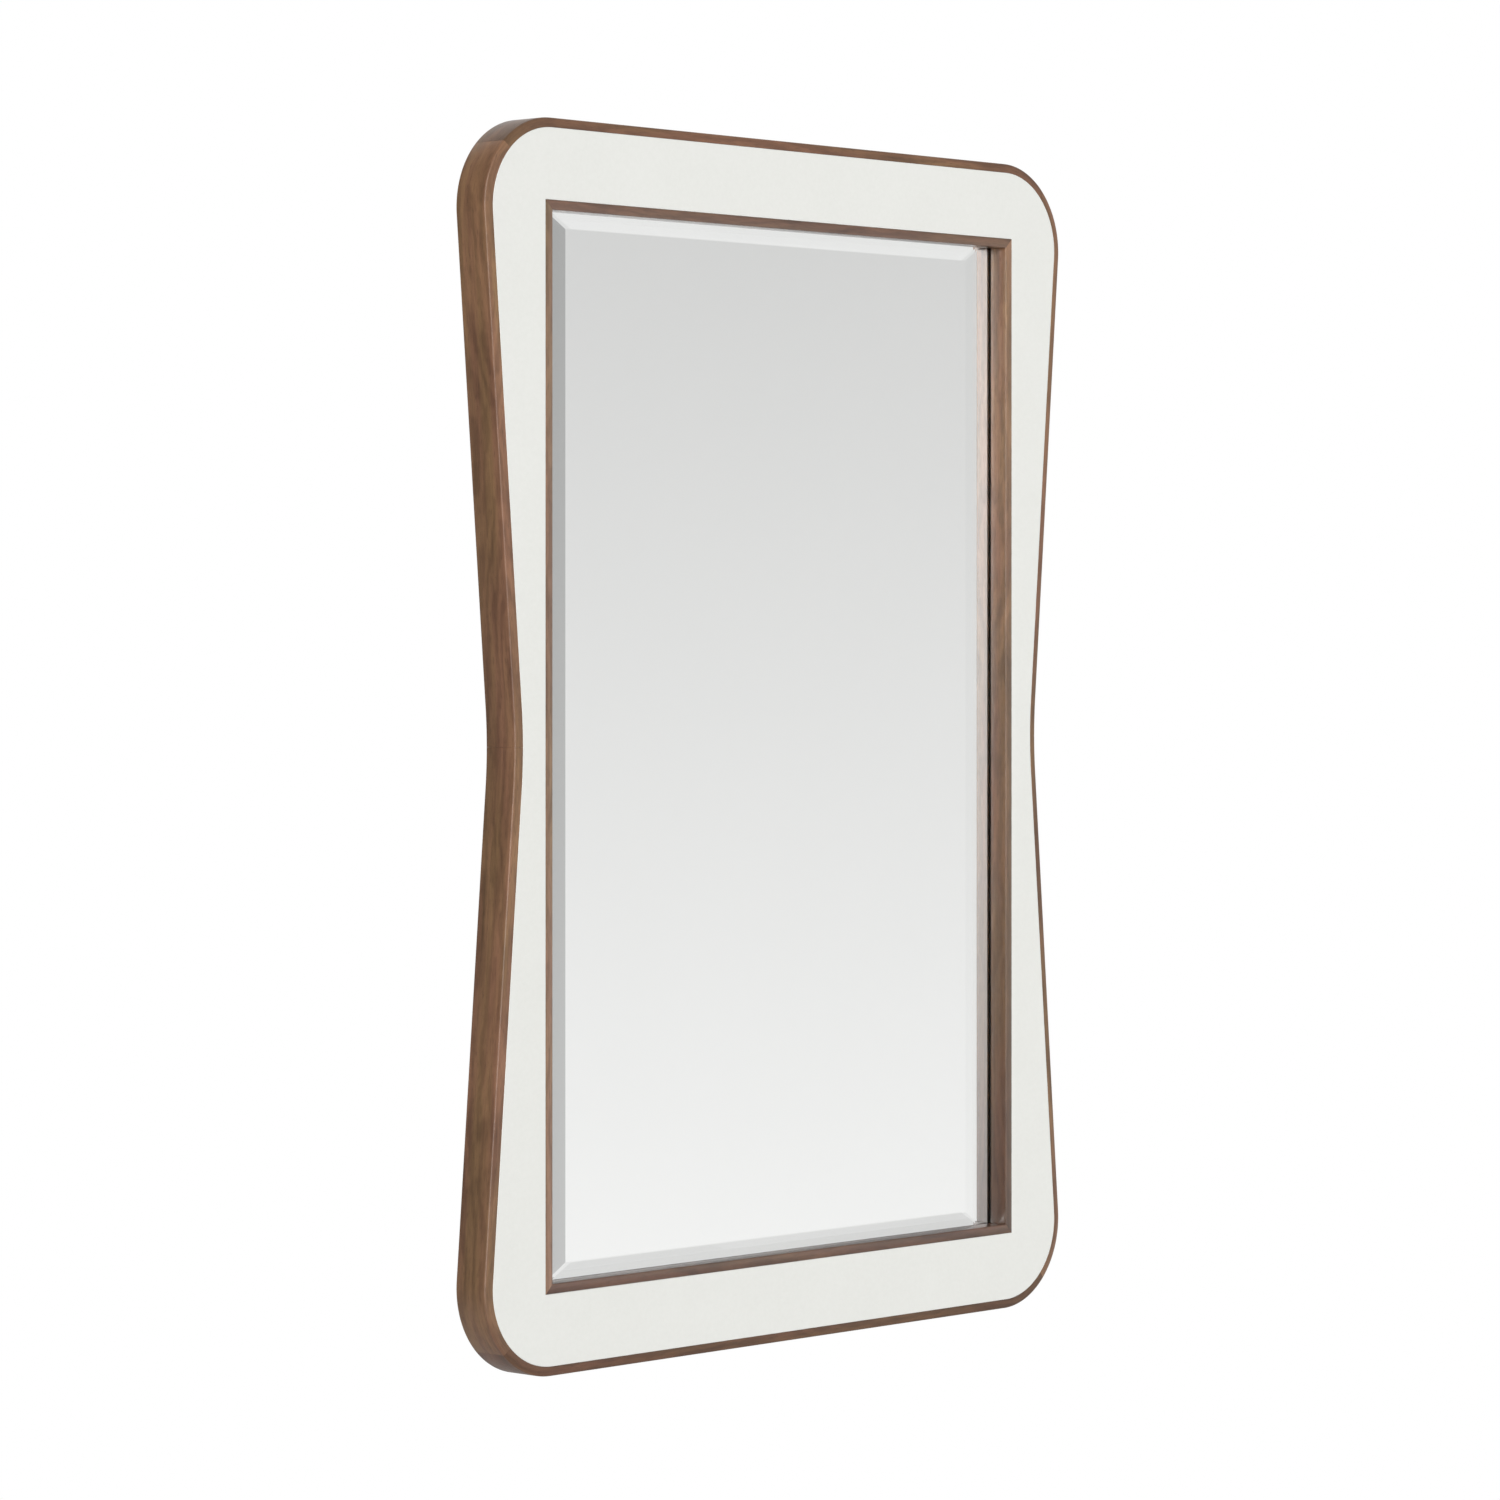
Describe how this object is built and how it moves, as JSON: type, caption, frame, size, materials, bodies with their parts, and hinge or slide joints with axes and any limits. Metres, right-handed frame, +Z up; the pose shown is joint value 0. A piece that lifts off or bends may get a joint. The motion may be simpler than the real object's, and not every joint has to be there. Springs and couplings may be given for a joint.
{
  "type": "wall mirror",
  "caption": "Framed mirror with waisted sides and rounded corners: bevelled plate, walnut sight moulding, ivory face panel and walnut edge band, with strap hangers on the back.",
  "frame": {"origin": "centre of the whole frame, halfway through its depth", "axes": "+Z up, the mirror faces -Y and the wall is on the +Y side, +X to the right seen from the front"},
  "size_m": [0.862, 0.041, 1.22],
  "materials": {
    "walnut_band": "satin",
    "walnut_moulding": "satin",
    "ivory_face": "matt, finely pebbled",
    "core_timber": "raw",
    "mirror_glass": "polished, silvered behind",
    "rubber": "matt",
    "foam": "open cell",
    "hardboard": "smooth face",
    "zinc_screw": "zinc plated",
    "zinc_strap": "zinc plated",
    "zinc_ring": "zinc plated"
  },
  "bodies": {
    "frame": {"band_top": "walnut_band", "band_bottom": "walnut_band", "band_left_upper": "walnut_band", "band_left_lower": "walnut_band", "band_right_upper": "walnut_band", "band_right_lower": "walnut_band", "face_panel": "ivory_face", "sight_moulding_top": "walnut_moulding", "sight_moulding_bottom": "walnut_moulding", "sight_moulding_left": "walnut_moulding", "sight_moulding_right": "walnut_moulding", "core_front_stile_left": "core_timber", "core_front_stile_right": "core_timber", "core_front_rail_top": "core_timber", "core_front_rail_bottom": "core_timber", "core_rear_rail_top": "core_timber", "core_rear_rail_bottom": "core_timber", "core_rear_stile_left": "core_timber", "core_rear_stile_right": "core_timber", "mirror_plate": "mirror_glass", "setting_block_left": "rubber", "setting_block_right": "rubber", "side_block_left_lower": "rubber", "side_block_left_upper": "rubber", "side_block_right_lower": "rubber", "side_block_right_upper": "rubber", "pressure_pad_left_lower": "foam", "pressure_pad_left_upper": "foam", "pressure_pad_right_lower": "foam", "pressure_pad_right_upper": "foam", "backing_board": "hardboard", "board_screw_01": "zinc_screw", "board_screw_02": "zinc_screw", "board_screw_03": "zinc_screw", "board_screw_04": "zinc_screw", "board_screw_05": "zinc_screw", "board_screw_06": "zinc_screw", "board_screw_07": "zinc_screw", "board_screw_08": "zinc_screw", "board_screw_09": "zinc_screw", "board_screw_10": "zinc_screw", "board_screw_11": "zinc_screw", "board_screw_12": "zinc_screw", "hanger_screw_1": "zinc_screw", "hanger_screw_2": "zinc_screw", "hanger_screw_3": "zinc_screw", "hanger_screw_4": "zinc_screw", "hanger_strap_left": "zinc_strap", "hanger_strap_right": "zinc_strap"},
    "hanger_ring_left": {"hanger_ring_left": "zinc_ring"},
    "hanger_ring_right": {"hanger_ring_right": "zinc_ring"}
  },
  "joints": [
    {"name": "left_ring_hinge", "type": "hinge", "parent": "frame", "child": "hanger_ring_left", "pos_m": [-0.3834, 0.0149, 0.38], "axis": [1, 0, 0], "range_deg": [0, 180]},
    {"name": "right_ring_hinge", "type": "hinge", "parent": "frame", "child": "hanger_ring_right", "pos_m": [0.3834, 0.0149, 0.38], "axis": [1, 0, 0], "range_deg": [0, 180]}
  ]
}
